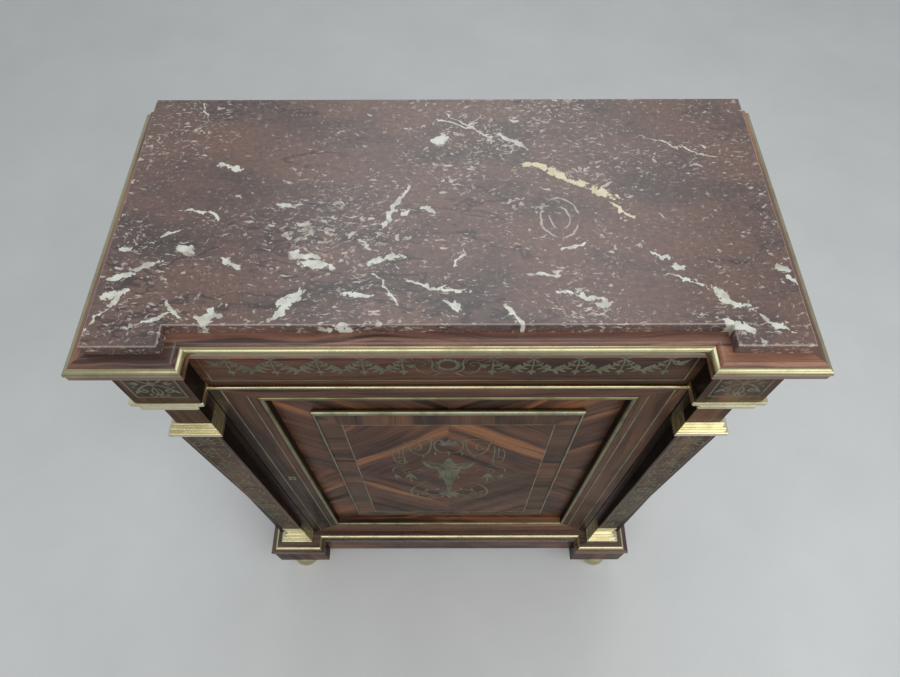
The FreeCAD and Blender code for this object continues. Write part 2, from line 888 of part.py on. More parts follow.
left = [
    (-door_half, door_base),
    (-opening_half, opening_base),
    (-opening_half, opening_top),
    (-door_half, door_top),
]
right = [(-x, z) for x, z in left]
frame_piece("door_stile_left", left, [rebate, bead_seat, escutcheon_seat, keyhole, lock_holes])
frame_piece("door_stile_right", right, [rebate, bead_seat, lower_seat, upper_seat])
frame_piece("door_rail_bottom", [left[0], right[0], right[1], left[1]], [rebate, bead_seat, lower_seat])
frame_piece("door_rail_top", [left[3], right[3], right[2], left[2]], [rebate, bead_seat, upper_seat])
board(
    "door_panel",
    (-opening_half - s.panel_rebate, opening_half + s.panel_rebate),
    (panel_face, door_back),
    (opening_base - s.panel_rebate, opening_top + s.panel_rebate),
)


def door_path(side_margin, end_margin):
    """A closed path inside the door's opening, from the middle of its lower side round to the right."""
    half = opening_half - side_margin
    low, high = opening_base + end_margin, opening_top - end_margin
    return [(0, low), (half, low), (half, high), (-half, high), (-half, low)]


# Half-round brass bead let into the inner edge of the frame
bead_width = s.door_bead_width
bead_half = bead_width / 2
moulding(
    "door_bead",
    door_path(0, 0),
    [
        (bead_width, bead_back),
        (0, bead_back),
        (0, bead_front + bead_half),
        (bead_half, bead_front, bead_half, bead_front + bead_half),
        (bead_width, bead_front + bead_half, bead_half, bead_front + bead_half),
    ],
    (0, bead_width),
    "XZ_Plane",
    True,
)

# Raised field with a half-round brass moulding on its edges
field_radius = s.field_brass_depth / 2
field_round = panel_face - field_radius
field_side = s.field_side_margin + field_radius
field_end = s.field_end_margin + field_radius
moulding(
    "field_moulding",
    door_path(field_side, field_end),
    [
        (0, panel_face, 0, field_round),
        (0, panel_face - s.field_brass_depth),
        (field_radius, field_round, 0, field_round),
    ],
    (0, field_radius),
    "XZ_Plane",
    True,
)
board(
    "door_field",
    (-opening_half + field_side, opening_half - field_side),
    (panel_face - s.field_thickness, panel_face),
    (opening_base + field_end, opening_top - field_end),
)

# Rebuild, test every object and write each sub-part
doc.recompute()
for thing in doc.Objects:
    if {"Invalid", "Error"} & set(thing.State):
        raise RuntimeError(f"{thing.Label} did not rebuild: {thing.State}")
os.makedirs("parts", exist_ok=True)
for piece in pieces:
    shape = piece.Shape
    if shape.isNull() or not shape.isValid() or not shape.Solids:
        raise RuntimeError(f"{piece.Label} has no valid solid")
    shape.exportStep(f"parts/{piece.Label}.step")
print(len(pieces), "sub-parts written")
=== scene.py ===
import cmath
import math

import bmesh
import bpy
from mathutils import Matrix, Vector


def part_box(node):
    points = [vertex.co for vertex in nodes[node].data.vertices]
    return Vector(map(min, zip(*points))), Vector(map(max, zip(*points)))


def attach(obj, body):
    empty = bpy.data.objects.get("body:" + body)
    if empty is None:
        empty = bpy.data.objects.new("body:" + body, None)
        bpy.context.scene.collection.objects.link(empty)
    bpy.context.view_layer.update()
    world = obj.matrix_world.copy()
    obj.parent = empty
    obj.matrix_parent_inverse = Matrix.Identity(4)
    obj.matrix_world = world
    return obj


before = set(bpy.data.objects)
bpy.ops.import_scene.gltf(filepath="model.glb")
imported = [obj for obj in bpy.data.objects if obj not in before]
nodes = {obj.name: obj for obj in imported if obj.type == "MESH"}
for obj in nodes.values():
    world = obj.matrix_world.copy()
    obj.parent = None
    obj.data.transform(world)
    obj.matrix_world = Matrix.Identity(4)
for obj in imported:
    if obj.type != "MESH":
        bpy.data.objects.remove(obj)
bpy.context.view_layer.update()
scene = bpy.context.scene

# Places are in metres, and what an inlay draws is in millimetres
MM = 0.001
RIGHT, BACK, UP = Vector((1, 0, 0)), Vector((0, 1, 0)), Vector((0, 0, 1))
SIDES = {"left": -1, "right": 1}


def srgb(red, green, blue):
    """A colour in screen values from 0 to 255, as the linear values that shaders take."""

    def linear(level):
        level /= 255
        return level / 12.92 if level <= 0.04045 else ((level + 0.055) / 1.055) ** 2.4

    return (linear(red), linear(green), linear(blue), 1.0)


class Graph:
    """A material whose nodes are added and linked by short calls."""

    # Sockets of the mix node for each kind of data: first, second and result
    MIX_SOCKETS = {"VECTOR": (4, 5, 1), "RGBA": (6, 7, 2)}

    def __init__(self, name):
        self.material = bpy.data.materials.new(name)
        self.material.use_nodes = True
        self.nodes = self.material.node_tree.nodes
        self.links = self.material.node_tree.links
        self.nodes.clear()
        self.place = self.add("ShaderNodeTexCoord").outputs["Object"]

    def add(self, kind, inputs=None, **settings):
        """A node whose inputs are linked to sockets or set to values."""
        node = self.nodes.new(kind)
        for name, setting in settings.items():
            setattr(node, name, setting)
        for key, given in (inputs or {}).items():
            if isinstance(given, bpy.types.NodeSocket):
                self.links.new(given, node.inputs[key])
            else:
                node.inputs[key].default_value = given
        return node

    def number(self, operation, *terms):
        return self.add("ShaderNodeMath", dict(enumerate(terms)), operation=operation).outputs[0]

    def vector(self, operation, *terms):
        node = self.add("ShaderNodeVectorMath", dict(enumerate(terms)), operation=operation)
        return node.outputs["Value" if operation in ("DOT_PRODUCT", "LENGTH") else "Vector"]

    def split(self, vector):
        return self.add("ShaderNodeSeparateXYZ", {0: vector}).outputs

    def join(self, x, y, z):
        return self.add("ShaderNodeCombineXYZ", {0: x, 1: y, 2: z}).outputs[0]

    def noise(self, place, scale, detail=4.0, roughness=0.55, output="Fac"):
        inputs = {"Vector": place, "Scale": scale, "Detail": detail, "Roughness": roughness}
        return self.add("ShaderNodeTexNoise", inputs).outputs[output]

    def warped(self, place, scale, reach):
        """The place, pushed about by a noise by up to half of reach each way."""
        cloud = self.noise(place, scale, detail=3.0, output="Color")
        push = self.vector("SUBTRACT", cloud, (0.5, 0.5, 0.5))
        return self.vector("ADD", place, self.vector("MULTIPLY", push, (reach, reach, reach)))

    def span(self, value, low, high, start=0.0, end=1.0):
        """A smooth step from start to end while the value goes from low to high."""
        inputs = {"Value": value, "From Min": low, "From Max": high, "To Min": start, "To Max": end}
        return self.add("ShaderNodeMapRange", inputs, interpolation_type="SMOOTHSTEP").outputs["Result"]

    def ramp(self, factor, stops):
        node = self.add("ShaderNodeValToRGB", {"Fac": factor})
        elements = node.color_ramp.elements
        (elements[0].position, elements[0].color) = stops[0]
        (elements[1].position, elements[1].color) = stops[-1]
        for position, colour in stops[1:-1]:
            elements.new(position).color = colour
        return node.outputs["Color"]

    def mix(self, factor, first, second, kind="RGBA"):
        first_key, second_key, result = self.MIX_SOCKETS[kind]
        inputs = {0: factor, first_key: first, second_key: second}
        return self.add("ShaderNodeMix", inputs, data_type=kind).outputs[result]

    def bump(self, height, depth):
        inputs = {"Height": height, "Strength": 1.0, "Distance": depth}
        return self.add("ShaderNodeBump", inputs).outputs["Normal"]

    def finish(self, sockets):
        shader = self.add("ShaderNodeBsdfPrincipled", sockets)
        self.add("ShaderNodeOutputMaterial", {"Surface": shader.outputs["BSDF"]})
        return self.material


# Marble veins: middle across and towards the back, length and width in millimetres, lean in degrees
WHITE_VEINS = [
    # Towards the back
    (15, 150, 80, 5, -20), (30, 150, 95, 4, -35), (35, 160, 30, 3, 60), (80, 125, 45, 10, -35),
    (-10, 125, 25, 11, 10), (295, 112, 110, 3, -20), (-320, 180, 45, 4, -70), (-272, 80, 30, 10, -25),
    # Across the middle
    (-62, 13, 65, 8, 65), (-50, 5, 20, 5, 30), (-20, 10, 12, 9, -35), (-190, 15, 20, 9, -10),
    (-300, 8, 35, 6, -5), (-276, 0, 20, 8, -60), (-320, -25, 25, 9, 25), (15, -60, 30, 5, 70),
    (145, -47, 40, 8, 15), (244, -60, 25, 6, -20),
    # Front left
    (-370, -50, 15, 9, 0), (-365, -86, 50, 13, 5), (-343, -72, 35, 9, 15), (-373, -112, 35, 12, 10),
    (-368, -120, 15, 10, 55), (-380, -145, 35, 3, 60), (-298, -50, 15, 9, -15), (-245, -72, 25, 9, -25),
    (-300, -132, 30, 7, -50), (-312, -141, 35, 9, 20), (-256, -143, 25, 11, 15), (-258, -144, 20, 10, 65),
    # Front middle
    (-166, -57, 40, 16, -10), (-148, -71, 30, 14, -10), (-176, -127, 50, 8, 50), (-171, -113, 25, 11, 55),
    (-100, -114, 32, 11, -5), (-70, -66, 40, 10, 10), (-67, -109, 60, 4, -50), (-123, -155, 25, 17, 15),
    (-23, -101, 50, 7, -5), (5, -105, 30, 8, -15), (10, -128, 15, 10, -30), (76, -145, 40, 8, -55),
    # Front right
    (110, -85, 35, 10, 5), (132, -111, 16, 10, -30), (157, -115, 22, 10, -10), (172, -123, 15, 9, 15),
    (260, -80, 14, 10, -25), (262, -95, 40, 5, -20), (305, -118, 60, 10, -30), (350, -150, 45, 6, -40),
    (312, -153, 25, 15, -35), (380, -80, 17, 12, -15), (385, -95, 12, 8, -50),
]
CREAM_VEINS = [(109, 77, 34, 12, -5), (142, 62, 55, 16, -30), (185, 36, 45, 13, -25), (210, 6, 38, 5, -50)]
SHELL_PLACE, SHELL_RADIUS, SHELL_STRETCH = (0.133, -0.005), 0.031, 1.35

# Marble crumbs: lean in radians, scale of the noise to the metre, level where they start, strength
CRUMBS = [
    (0.35, 300.0, 0.62, 0.55),
    (-0.3, 190.0, 0.63, 0.7),
    (0.5, 110.0, 0.66, 0.9),
    (-0.15, 66.0, 0.705, 0.9),
    (0.3, 40.0, 0.72, 0.9),
]


def marble_ground(net):
    """Red-brown clouds with a fine grain."""
    drawn_out = net.vector("MULTIPLY", net.warped(net.place, 6.0, 0.09), (0.45, 1.0, 1.0))
    colour = net.ramp(net.noise(drawn_out, 15.0, detail=7.0, roughness=0.62), [
        (0.32, srgb(78, 69, 68)),
        (0.42, srgb(93, 78, 74)),
        (0.5, srgb(106, 85, 79)),
        (0.68, srgb(118, 91, 81)),
    ])
    stretched = net.vector("MULTIPLY", net.place, (0.6, 1.0, 1.0))
    grain = net.noise(stretched, 230.0, detail=7.0, roughness=0.74)
    colour = net.mix(net.span(grain, 0.34, 0.5, start=0.5, end=0.0), colour, srgb(76, 60, 56))
    return net.mix(net.span(grain, 0.5, 0.66, start=0.0, end=0.5), colour, srgb(144, 116, 105))


def marble_seams(net, colour):
    """Dark wavy seams, mostly from left to right, that come and go."""
    layered = net.vector("MULTIPLY", net.warped(net.place, 9.0, 0.05), (0.3, 1.0, 1.0))
    level = net.noise(layered, 8.0, detail=5.0, roughness=0.6)
    off = net.number("ABSOLUTE", net.number("SUBTRACT", level, 0.5))
    seam = net.span(off, 0.002, 0.011, start=0.75, end=0.0)
    shown = net.span(net.noise(net.place, 4.0, detail=2.0), 0.36, 0.52)
    return net.mix(net.number("MULTIPLY", seam, shown), colour, srgb(58, 51, 53))


def marble_crumbs(net, colour, tint):
    """Pale crumbs of shell in drifts, from specks to flakes a centimetre long."""
    drift = net.noise(net.warped(net.place, 5.0, 0.12), 7.0, detail=3.0)
    lift = net.number("MULTIPLY", net.number("SUBTRACT", drift, 0.5), 0.27)
    swirl = net.warped(net.place, 16.0, 0.05)
    pale = 0.0
    for lean, scale, low, strength in CRUMBS:
        inputs = {"Vector": swirl, "Rotation": (0.0, 0.0, lean), "Scale": (scale * 0.45, scale, scale)}
        turned = net.add("ShaderNodeMapping", inputs).outputs["Vector"]
        level = net.number("ADD", net.noise(turned, 1.0, detail=2.5, roughness=0.6), lift)
        crumb = net.span(level, low, low + 0.04, start=0.0, end=strength)
        pale = net.number("MAXIMUM", pale, crumb)
    crumb_colour = net.ramp(tint, [(0.4, srgb(172, 152, 142)), (0.56, srgb(208, 203, 193))])
    return net.mix(pale, colour, crumb_colour)


def marble_veins(net, colour, ragged, marks, vein_colour):
    """Veins with torn edges and gaps."""
    inside = 0.0
    for x, y, length, width, lean in marks:
        inputs = {
            "Vector": ragged,
            "Location": (x * MM, y * MM, 0.0),
            "Rotation": (0.0, 0.0, math.radians(lean)),
            "Scale": ((length + width) * 0.68 * MM, width * 0.56 * MM, 1.0),
        }
        local = net.add("ShaderNodeMapping", inputs, vector_type="TEXTURE").outputs["Vector"]
        near = net.add("ShaderNodeTexGradient", {"Vector": local}, gradient_type="SPHERICAL")
        inside = net.number("MAXIMUM", inside, near.outputs["Fac"])
    torn = net.number("SUBTRACT", net.noise(net.place, 90.0, detail=4.0, roughness=0.6), 0.5)
    tear = net.number("MULTIPLY", torn, net.span(inside, 0.0, 0.3, start=0.0, end=1.9))
    vein = net.span(net.number("ADD", inside, tear), 0.34, 0.43)
    return net.mix(vein, colour, vein_colour)


def marble_shell(net, colour, ground):
    """One fossil shell, as two broken rings."""
    around = net.vector("SUBTRACT", net.warped(ground, 40.0, 0.012), (*SHELL_PLACE, 0.0))
    distance = net.vector("LENGTH", net.vector("MULTIPLY", around, (SHELL_STRETCH, 1.0, 1.0)))
    broken = net.span(net.noise(net.place, 40.0), 0.40, 0.54)
    for radius in (SHELL_RADIUS, SHELL_RADIUS * 0.55):
        off = net.number("ABSOLUTE", net.number("SUBTRACT", distance, radius))
        ring = net.number("MULTIPLY", net.span(off, 0.0005, 0.0018, start=0.8, end=0.0), broken)
        colour = net.mix(ring, colour, srgb(196, 188, 180))
    return colour


def marble_edge_highlight(net, colour):
    """Painted highlight: paler where the edges are rounded."""
    upward = net.split(net.add("ShaderNodeNewGeometry").outputs["Normal"])[2]
    edge_highlight_strength = net.span(upward, 0.93, 0.995, start=0.3, end=0.0)
    rounded = net.number("MULTIPLY", net.span(upward, 0.3, 0.6), edge_highlight_strength)
    return net.mix(rounded, colour, srgb(206, 186, 178))


def marble():
    """Polished red-brown limestone marble with pale crumbs of shell, white veins and dark seams."""
    net = Graph("marble")
    tint = net.noise(net.place, 60.0, detail=3.0)
    colour = marble_ground(net)
    colour = marble_seams(net, colour)
    colour = marble_crumbs(net, colour, tint)
    ground = net.vector("MULTIPLY", net.place, (1.0, 1.0, 0.0))
    ragged = net.warped(net.warped(ground, 28.0, 0.03), 110.0, 0.011)
    white = net.ramp(tint, [(0.35, srgb(180, 178, 166)), (0.6, srgb(218, 220, 208))])
    colour = marble_veins(net, colour, ragged, WHITE_VEINS, white)
    cream = net.ramp(tint, [(0.35, srgb(196, 186, 150)), (0.6, srgb(224, 216, 184))])
    colour = marble_veins(net, colour, ragged, CREAM_VEINS, cream)
    colour = marble_shell(net, colour, ground)
    # Painted highlight on the rounded edges of the slab
    colour = marble_edge_highlight(net, colour)
    return net.finish({
        "Base Color": colour,
        "Roughness": net.span(net.noise(net.place, 90.0, detail=3.0), 0.3, 0.7, start=0.24, end=0.32),
        "Normal": net.bump(net.noise(net.place, 320.0, detail=2.0), 0.00002),
        "Specular IOR Level": 0.55,
    })


# Wood colours: dark, middle and light ground, then flame streaks and black veins
DARK_TONES = [(50, 35, 27), (75, 53, 41), (97, 70, 52), (114, 79, 57), (28, 21, 17)]
RED_TONES = [(54, 36, 29), (82, 55, 43), (106, 71, 54), (134, 89, 63), (30, 22, 18)]
RAIL_TONES = [(62, 42, 34), (94, 64, 51), (120, 82, 64), (146, 98, 69), (36, 26, 21)]
FIGURED_TONES = [(49, 33, 27), (80, 54, 42), (107, 72, 53), (150, 100, 65), (25, 19, 16)]
CORNICE_TONES = [(86, 59, 49), (117, 81, 67), (142, 99, 80), (160, 110, 82), (52, 37, 32)]
PLINTH_TONES = [(60, 46, 41), (84, 66, 59), (104, 82, 72), (118, 90, 76), (36, 28, 25)]
BLOCK_TONES = [(42, 31, 26), (60, 45, 37), (78, 58, 48), (92, 67, 53), (24, 18, 16)]
# Corner posts: painted shade, darker as they stand in the shade of the pilasters
SHADED_POST_TONES = [(29, 21, 18), (43, 31, 26), (57, 42, 34), (66, 47, 38), (18, 14, 12)]
PALE_TONES = [(140, 104, 72), (160, 121, 85), (176, 136, 98), (188, 148, 108), (118, 84, 57)]
QUARTER_SHIFT = (0.7, 0.7, 0.4)


def quartered(net, height):
    """The way from the middle of a veneer in four quarters, and a place that gives each its own figure."""
    from_middle = net.vector("SUBTRACT", net.place, (0.0, 0.0, height))
    shift = net.vector("MULTIPLY", net.vector("SIGN", from_middle), QUARTER_SHIFT)
    return from_middle, net.vector("ADD", net.vector("ABSOLUTE", from_middle), shift)


def mitred(net, place, mitre):
    """The place with x and y swapped past a mitre, which turns grain round a corner."""
    x, y, z = net.split(place)
    past = net.number("GREATER_THAN", net.number("ADD", net.number("ABSOLUTE", x), y), mitre)
    return net.mix(past, place, net.join(y, x, z), "VECTOR")


def lozenge(net, from_middle, reach):
    """The share of flames in a quartered veneer: most round a lozenge, and fewer below the middle."""
    away = net.vector("DOT_PRODUCT", net.vector("ABSOLUTE", from_middle), (1.0, 0.0, 1.0))
    inner = net.span(away, reach * 0.7, reach)
    outer = net.span(away, reach * 1.2, reach * 1.5, start=1.0, end=0.4)
    upper = net.span(net.split(from_middle)[2], -0.01, 0.01, start=0.35, end=1.0)
    return net.number("MULTIPLY", net.number("MULTIPLY", inner, outer), upper)


def painted_recess_shade(net, colour):
    """Painted shade: dull black on the faces that look towards the middle of the cabinet, the walls of the
    recesses between the parts.
    """
    facing = net.split(net.add("ShaderNodeTexCoord").outputs["Normal"])[0]
    outward = net.number("MULTIPLY", facing, net.number("SIGN", net.split(net.place)[0]))
    return net.mix(net.span(outward, -0.9, -0.6, start=0.9, end=0.0), colour, srgb(12, 9, 8))


def wood(name, along, across, tones=DARK_TONES, book=None, halo=None, mitre=None,
         gloss=0.3, shine=0.08, breadth=1.0, sway=0.05, painted_side_shade=False):
    """Figured veneer whose grain runs along one direction.

    A book height lays the veneer in four quarters about the middle line and that height.
    A halo gathers the flames of a quartered veneer round a lozenge, at that distance from its middle.
    A mitre carries the grain round a corner: where |x| + y is more, it runs from front to back.
    Painted side shade blackens the faces that look towards the middle of the cabinet, as painted shade in
    the recesses between the parts.
    """
    net = Graph(name)
    place = net.place
    if book is not None:
        from_middle, place = quartered(net, book)
    if mitre is not None:
        place = mitred(net, place, mitre)
    along, across = Vector(along).normalized(), Vector(across).normalized()
    axes = (along, across, along.cross(across))
    run, over, deep = (net.vector("DOT_PRODUCT", place, tuple(axis)) for axis in axes)
    wander = net.join(net.number("MULTIPLY", run, 4.0), net.number("MULTIPLY", over, 7.0), deep)
    over = net.number("MULTIPLY_ADD", net.noise(wander, 1.0, detail=2.0), sway, over)

    def streaks(lengthwise, crosswise, detail=3.0, start=0.0):
        """Noise drawn out along the grain. The scales are per metre."""
        drawn_out = net.join(
            net.number("MULTIPLY_ADD", run, lengthwise, start),
            net.number("MULTIPLY", over, crosswise),
            net.number("MULTIPLY", deep, crosswise),
        )
        return net.noise(drawn_out, 1.0, detail, roughness=0.6)

    patches = streaks(3.0, 8.0)
    bands = streaks(1.8, 24.0 * breadth, start=3.0)
    lines = streaks(5.0, 220.0, detail=5.0)
    tone = net.number("MULTIPLY", patches, 0.25)
    tone = net.number("MULTIPLY_ADD", bands, 0.4, tone)
    tone = net.number("MULTIPLY_ADD", lines, 0.35, tone)
    dark, middle, light, flame, black = (srgb(*shade) for shade in tones)
    colour = net.ramp(tone, [(0.41, dark), (0.5, middle), (0.59, light)])
    figure = streaks(1.2, 17.0 * breadth, start=7.0)
    if halo is not None:
        gathered = net.number("MULTIPLY_ADD", lozenge(net, from_middle, halo), 0.17, -0.09)
        figure = net.number("ADD", figure, gathered)
    broken = net.span(lines, 0.3, 0.6, start=0.4, end=1.0)
    colour = net.mix(net.number("MULTIPLY", net.span(figure, 0.53, 0.66), broken), colour, flame)
    veins = net.span(streaks(1.3, 38.0 * breadth, start=13.0), 0.59, 0.66, start=0.0, end=0.85)
    colour = net.mix(veins, colour, black)
    pits = net.span(streaks(70.0, 1500.0, detail=1.0), 0.60, 0.72)
    colour = net.mix(net.number("MULTIPLY", pits, 0.4), colour, black)
    # Painted shade on the walls of the recesses
    if painted_side_shade:
        colour = painted_recess_shade(net, colour)
    handled = net.noise(net.place, 14.0, detail=5.0, roughness=0.6)
    relief = net.number("SUBTRACT", net.number("MULTIPLY", lines, 0.4), pits)
    return net.finish({
        "Base Color": colour,
        "Roughness": net.span(handled, 0.35, 0.68, start=gloss, end=gloss + 0.14),
        "Normal": net.bump(relief, 0.00005),
        "Specular IOR Level": shine,
    })


def metal(name, bright, dull, rough):
    """Cast or drawn metal with polished and tarnished places, and fine rubbing marks."""
    net = Graph(name)
    age = net.noise(net.warped(net.place, 30.0, 0.02), 26.0, detail=5.0, roughness=0.6)
    colour = net.mix(net.span(age, 0.42, 0.7), srgb(*bright), srgb(*dull))
    spots = net.span(net.noise(net.place, 520.0, detail=2.0), 0.66, 0.76)
    spot_colour = srgb(*(level * 0.5 for level in dull))
    colour = net.mix(net.number("MULTIPLY", spots, 0.18), colour, spot_colour)
    wiped = net.noise(net.vector("MULTIPLY", net.place, (40.0, 400.0, 400.0)), 1.0, detail=2.0)
    return net.finish({
        "Base Color": colour,
        "Metallic": 1.0,
        "Roughness": net.span(age, 0.4, 0.7, start=rough, end=rough + 0.1),
        "Normal": net.bump(net.number("MULTIPLY_ADD", spots, -0.5, wiped), 0.000003),
    })


# Finishes: marble, woods with their grain directions, and metals
MITRE_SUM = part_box("top_board")[1].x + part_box("top_board")[0].y
DOOR_MIDDLE = sum(corner.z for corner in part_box("door_field")) / 2
MOULDED = {"mitre": MITRE_SUM, "shine": 0.5, "breadth": 2.0}
# Painted shade on the faces that look towards the middle of the cabinet
SIDE_SHADE = {"shine": 0.05, "painted_side_shade": True}
QUARTERED = {"tones": FIGURED_TONES, "book": DOOR_MIDDLE}
INSIDE = {"tones": PALE_TONES, "gloss": 0.5, "sway": 0.015}
marble_finish = marble()
lengthwise = wood("rosewood_lengthwise", RIGHT, UP, RED_TONES, breadth=0.8)
rail_veneer = wood("rosewood_rail", RIGHT, UP, RAIL_TONES, breadth=0.8)
round_corner = wood("rosewood_cornice", RIGHT, BACK, CORNICE_TONES, gloss=0.16, **MOULDED)
plinth_wood = wood("rosewood_plinth", RIGHT, BACK, PLINTH_TONES, gloss=0.2, **MOULDED)
upright = wood("rosewood_upright", UP, RIGHT, **SIDE_SHADE)
# A darker copy of the upright veneer for the left stile: painted shade from the left pilaster
shaded_left_stile = wood("rosewood_shaded_left_stile", UP, RIGHT, BLOCK_TONES, **SIDE_SHADE)
# Painted shade: the corner posts are darkened as if in the shade of the pilasters
shaded_post_veneer = wood("rosewood_post_painted_shade", UP, RIGHT, SHADED_POST_TONES)
side_veneer = wood("rosewood_side", UP, BACK, RED_TONES, breadth=1.8)
lining_veneer = wood("rosewood_lining", UP, RIGHT, RED_TONES, breadth=1.4)
band_veneer = wood("rosewood_band", (1, 0, 0.9), (-0.9, 0, 1), **QUARTERED)
quarter_veneer = wood("rosewood_quarters", (-1, 0, 1), (1, 0, 1), halo=0.22, **QUARTERED)
cross_upright = wood("rosewood_crossband_upright", UP, RIGHT)
cross_level = wood("rosewood_crossband_level", RIGHT, UP)
block_veneer = wood("rosewood_block", UP, RIGHT, BLOCK_TONES)
inner_wood = wood("inner_wood", RIGHT, BACK, **INSIDE)
inner_upright = wood("inner_wood_upright", UP, RIGHT, **INSIDE)
brass = metal("brass", (192, 184, 146), (170, 161, 124), 0.2)
# A darker copy of the brass for the cornice: painted shade that tones down its reflections
shaded_cornice_brass = metal("shaded_cornice_brass", (168, 161, 128), (148, 140, 109), 0.2)
cast_brass = metal("cast_brass", (218, 210, 176), (196, 187, 150), 0.2)
dull_brass = metal("dull_brass", (134, 129, 96), (102, 97, 72), 0.3)
field_brass = metal("field_brass", (143, 141, 118), (116, 113, 92), 0.32)
inlay_brass = metal("inlay_brass", (146, 142, 114), (114, 110, 88), 0.42)
worn_inlay = metal("worn_inlay", (124, 123, 101), (98, 97, 79), 0.45)
steel = metal("steel", (168, 168, 168), (112, 108, 104), 0.34)


def named(words):
    """The nodes that a row of words names. A star in a word stands for left and for right."""
    for word in words.split():
        for side_name in SIDES if "*" in word else [""]:
            yield nodes[word.replace("*", side_name)]


FINISHES = {
    marble_finish: "marble_top",
    round_corner: "top_board cornice_fillet",
    plinth_wood: "plinth_top plinth_edge",
    lengthwise: "frieze_board plinth_front",
    rail_veneer: "door_rail_top door_rail_bottom",
    upright: "frieze_block_* pilaster_neck_* pilaster_shaft_* plinth_block_* door_stile_right",
    shaded_left_stile: "door_stile_left",
    shaded_post_veneer: "corner_post_*",
    side_veneer: "side_panel_* plinth_side_*",
    band_veneer: "door_panel",
    quarter_veneer: "door_field",
    inner_wood: "bottom_board door_stop shelf_lower shelf_upper shelf_cleats plinth_back rear_foot_blocks",
    inner_upright: "back_panel",
    shaded_cornice_brass: "cornice_brass",
    brass: "frieze_bead plinth_brass front_foot_* rear_foot_* lower_pivot_plate upper_pivot_plate "
    "lower_pivot_socket upper_pivot_socket lock_keep",
    cast_brass: "block_moulding_* capital_* base_moulding_*",
    dull_brass: "door_bead escutcheon",
    field_brass: "field_moulding",
    steel: "lock_case lock_bolt lock_screws keep_screws",
}
for finish, words in FINISHES.items():
    for node in named(words):
        node.data.materials.clear()
        node.data.materials.append(finish)


# Edges eased by a radius in millimetres
EASED = {
    2.4: "block_moulding_*",
    2.0: "frieze_bead marble_top",
    0.5: "frieze_block_* pilaster_neck_* corner_post_* plinth_block_* plinth_front plinth_side_* "
    "plinth_top cornice_fillet shelf_lower shelf_upper",
    0.3: "escutcheon lock_case lock_bolt",
}
for radius, words in EASED.items():
    for node in named(words):
        weld = node.modifiers.new("weld", "WELD")
        weld.merge_threshold = 0.01 * MM
        bevel = node.modifiers.new("eased_edges", "BEVEL")
        bevel.width = radius * MM
        bevel.segments = 3
        bevel.limit_method = "ANGLE"
        node.modifiers.new("even_normals", "WEIGHTED_NORMAL")


def piece(name, mesh, finish, body):
    """A finished mesh as an object that moves with a body."""
    bmesh.ops.recalc_face_normals(mesh, faces=mesh.faces)
    data = bpy.data.meshes.new(name)
    mesh.to_mesh(data)
    mesh.free()
    data.materials.append(finish)
    made = bpy.data.objects.new(name, data)
    scene.collection.objects.link(made)
    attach(made, body)


def skin(mesh, rings):
    """Faces between rings of corners that follow each other."""
    for ring, after in zip(rings, rings[1:]):
        for index in range(len(ring)):
            beside = (index + 1) % len(ring)
            mesh.faces.new((ring[index], ring[beside], after[beside], after[index]))


def path(*pairs):
    """Points as complex numbers, from pairs of numbers."""
    return [complex(x, y) for x, y in pairs]


def rectangle(left, right, low, high):
    return path((left, low), (right, low), (right, high), (left, high))


def border(outer, inner):
    """The four mitred strips between two rectangles: foot, right, head and left."""
    return [[outer[index - 1], outer[index], inner[index], inner[index - 1]] for index in (1, 2, 3, 0)]


def smooth(points, steps=8):
    """A line through all the points, with no sharp turns."""
    padded = [2 * points[0] - points[1], *points, 2 * points[-1] - points[-2]]
    line = []
    for before, start, end, after in zip(padded, padded[1:], padded[2:], padded[3:]):
        slope = end - before
        bend = 2 * before - 5 * start + 4 * end - after
        twist = 3 * start - before - 3 * end + after
        for step in range(steps):
            share = step / steps
            line.append(0.5 * (2 * start + slope * share + bend * share ** 2 + twist * share ** 3))
    return line + [points[-1]]


def spiral(centre, start, turns, shrink=0.3, steps_in_turn=22):
    """A line that winds from start in towards a centre. Positive turns go anticlockwise."""
    count = max(6, int(abs(turns) * steps_in_turn))
    arm = start - centre
    line = []
    for step in range(count + 1):
        share = step / count
        line.append(centre + arm * shrink ** share * cmath.exp(2j * math.pi * turns * share))
    return line


